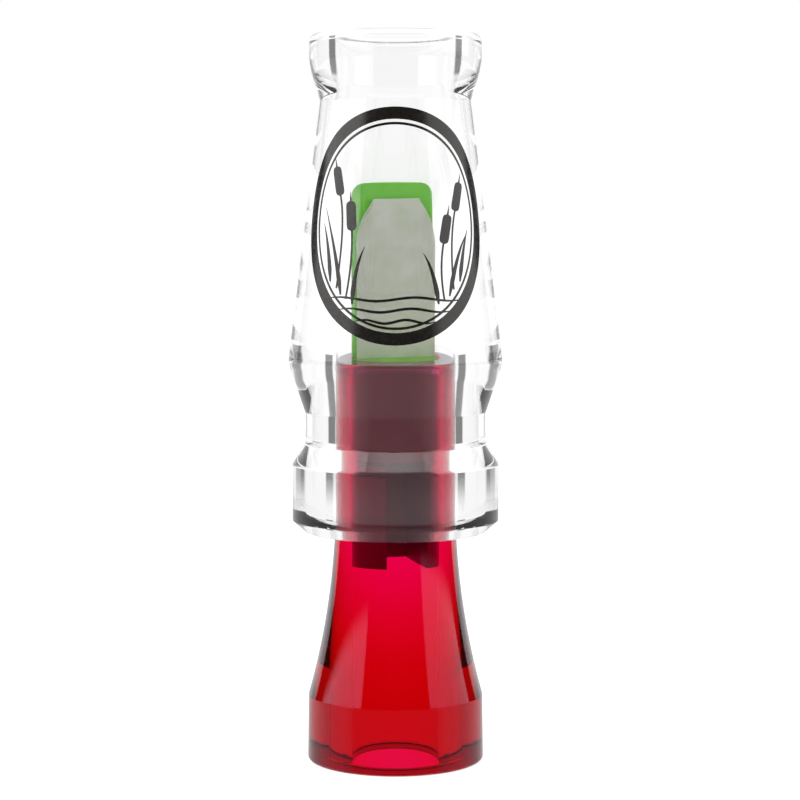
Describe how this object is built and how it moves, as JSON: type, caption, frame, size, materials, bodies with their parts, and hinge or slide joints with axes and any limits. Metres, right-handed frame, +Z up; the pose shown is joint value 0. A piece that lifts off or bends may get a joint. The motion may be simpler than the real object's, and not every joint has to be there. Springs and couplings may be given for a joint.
{
  "type": "duck call",
  "caption": "Duck call in clear and red acrylic: a barrel over a belled insert that holds a green sound board, a wedge and two reeds.",
  "frame": {"origin": "centre of the flat end of the bell, which the call stands on", "axes": "+Z up the call's axis from the bell to the mouth, -Y towards the side that the reeds face"},
  "size_m": [0.0338, 0.0338, 0.1148],
  "materials": {
    "clear_acrylic": "turned and polished clear cast acrylic",
    "red_acrylic": "turned and polished transparent red cast acrylic",
    "green_plastic": "moulded bright green plastic, satin",
    "reed_film": "frosted polyester film",
    "green_wedge": "moulded green rubber, satin"
  },
  "bodies": {
    "insert": {"insert": "red_acrylic"},
    "barrel": {"barrel": "clear_acrylic"},
    "tone_board": {"tone_board": "green_plastic"},
    "wedge": {"wedge": "green_wedge"},
    "lower_reed": {"lower_reed": "reed_film"},
    "upper_reed": {"upper_reed": "reed_film"}
  },
  "joints": [
    {"name": "barrel_pull", "type": "slide", "parent": "insert", "child": "barrel", "axis": [0, 0, 1], "range_m": [0, 0.06]},
    {"name": "board_pull", "type": "slide", "parent": "insert", "child": "tone_board", "axis": [0, 0, 1], "range_m": [0, 0.034]},
    {"name": "wedge_pull", "type": "slide", "parent": "tone_board", "child": "wedge", "axis": [0, 0, 1], "range_m": [0, 0.017]},
    {"name": "lower_reed_flex", "type": "hinge", "parent": "tone_board", "child": "lower_reed", "pos_m": [-0.0002, 0.00078, 0.0633], "axis": [-0.9681, -0.2504, 0], "range_deg": [-1, 1.5], "stiffness_Nm_per_rad": 0.026, "deforming": ["lower_reed"]},
    {"name": "upper_reed_flex", "type": "hinge", "parent": "tone_board", "child": "upper_reed", "pos_m": [-0.00011, 0.00043, 0.0633], "axis": [-0.9681, -0.2504, 0], "range_deg": [-1, 1.5], "stiffness_Nm_per_rad": 0.026, "deforming": ["upper_reed"]}
  ],
  "couplings": [
    {"joint": "upper_reed_flex", "follows": "lower_reed_flex", "ratio": 1}
  ]
}
